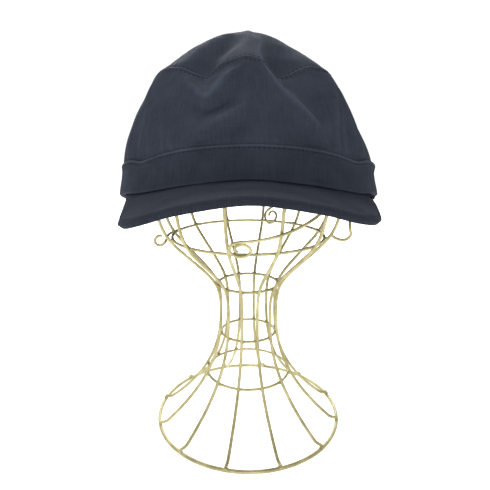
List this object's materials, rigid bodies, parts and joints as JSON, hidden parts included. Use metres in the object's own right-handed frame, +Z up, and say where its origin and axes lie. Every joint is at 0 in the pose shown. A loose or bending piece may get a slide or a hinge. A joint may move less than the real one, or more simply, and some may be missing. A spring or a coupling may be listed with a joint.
{
  "type": "patrol cap on wire stand",
  "caption": "Soft cloth cap with a flat brim, plain band, upright crown panels and a dented crown, resting on an open cage stand of bent wire ribs, hoops and scroll ends.",
  "frame": {"origin": "on the ground, under the middle of the box of cap and stand", "axes": "+Z up along the stand, brim towards -Y, +X to the left of whoever wears the cap"},
  "size_m": [0.183, 0.2502, 0.2932],
  "materials": {
    "navy_twill": "matte cotton twill",
    "gold_paint": "satin"
  },
  "bodies": {
    "root": {"top_panel": "navy_twill", "front_panel": "navy_twill", "side_panel_left": "navy_twill", "side_panel_right": "navy_twill", "band": "navy_twill", "brim": "navy_twill", "foot_ring": "gold_paint", "hoop_low": "gold_paint", "hoop_lower_waist": "gold_paint", "hoop_upper_waist": "gold_paint", "hoop_high": "gold_paint", "top_ring": "gold_paint", "scroll_front": "gold_paint", "scroll_right": "gold_paint", "scroll_back": "gold_paint", "scroll_left": "gold_paint", "rib_01": "gold_paint", "rib_02": "gold_paint", "rib_03": "gold_paint", "rib_04": "gold_paint", "rib_05": "gold_paint", "rib_06": "gold_paint", "rib_07": "gold_paint", "rib_08": "gold_paint", "rib_09": "gold_paint", "rib_10": "gold_paint", "rib_11": "gold_paint", "rib_12": "gold_paint"}
  },
  "joints": []
}
